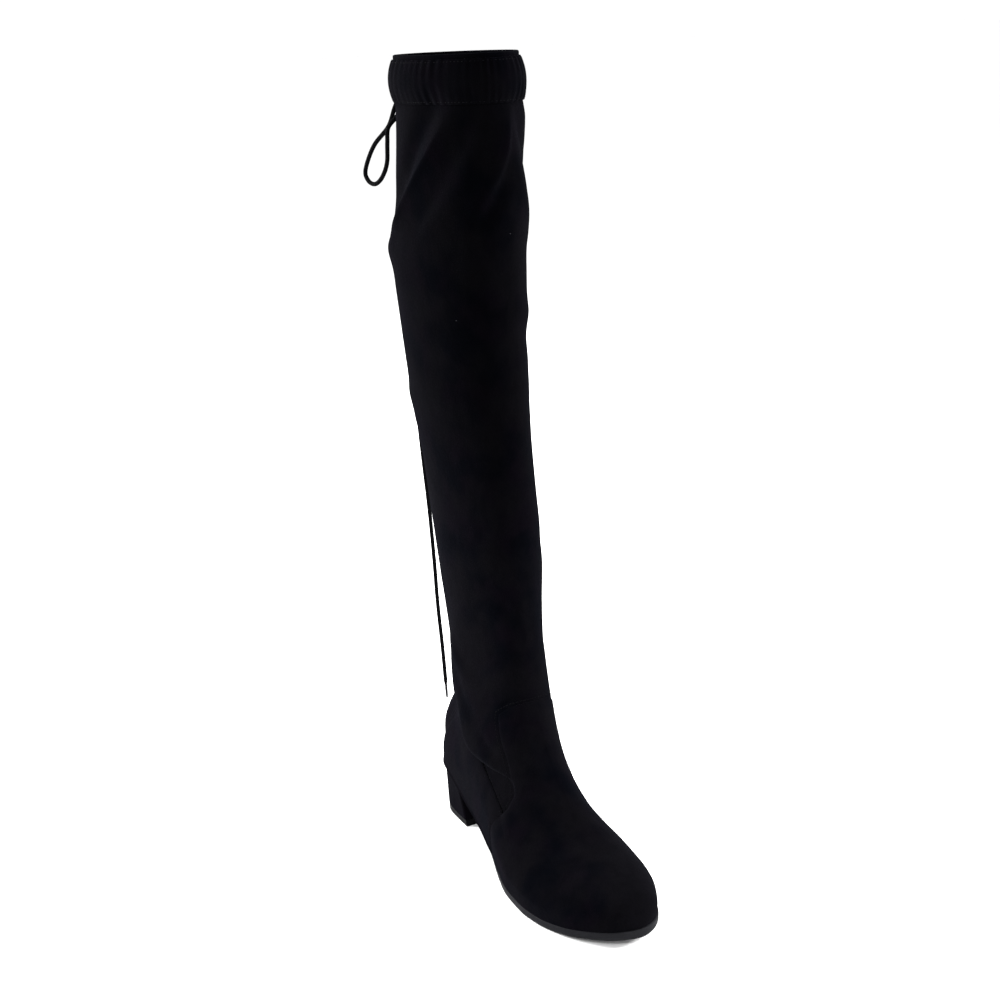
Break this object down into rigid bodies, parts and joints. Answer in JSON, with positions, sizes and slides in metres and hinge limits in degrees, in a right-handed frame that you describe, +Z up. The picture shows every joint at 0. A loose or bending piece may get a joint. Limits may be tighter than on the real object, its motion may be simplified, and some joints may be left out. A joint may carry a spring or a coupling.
{
  "type": "thigh high boot",
  "caption": "Thigh high boot for the right foot in black suede, with a low covered block heel, a thin rubber sole and a drawcord tied at the back of the collar.",
  "frame": {"origin": "under the middle of the boot's box, on the floor that it stands on", "axes": "+Z up along the shaft, -Y towards the toe, +X to the medial side (the side of the other foot)"},
  "size_m": [0.084, 0.2801, 0.53],
  "materials": {
    "black_suede": "matte nap",
    "vamp_suede": "matte nap",
    "counter_suede": "matte nap",
    "casing_suede": "matte nap",
    "heel_cover_suede": "matte nap",
    "sole_rubber": "satin",
    "top_lift_rubber": "satin",
    "insole_fabric": "matte",
    "cord_fabric": "matte",
    "aglet_metal": "satin"
  },
  "bodies": {
    "root": {"outsole": "sole_rubber", "heel_block": "heel_cover_suede", "heel_top_lift": "top_lift_rubber", "insole": "insole_fabric", "upper": "black_suede", "vamp": "vamp_suede", "heel_counter": "counter_suede", "drawcord_casing": "casing_suede", "drawcord_knot": "cord_fabric", "drawcord_loop_lateral": "cord_fabric", "drawcord_loop_medial": "cord_fabric", "drawcord_end_lateral": "cord_fabric", "drawcord_end_medial": "cord_fabric", "drawcord_aglet_lateral": "aglet_metal", "drawcord_aglet_medial": "aglet_metal", "drawcord_feed_lateral": "cord_fabric", "drawcord_feed_medial": "cord_fabric"}
  },
  "joints": []
}
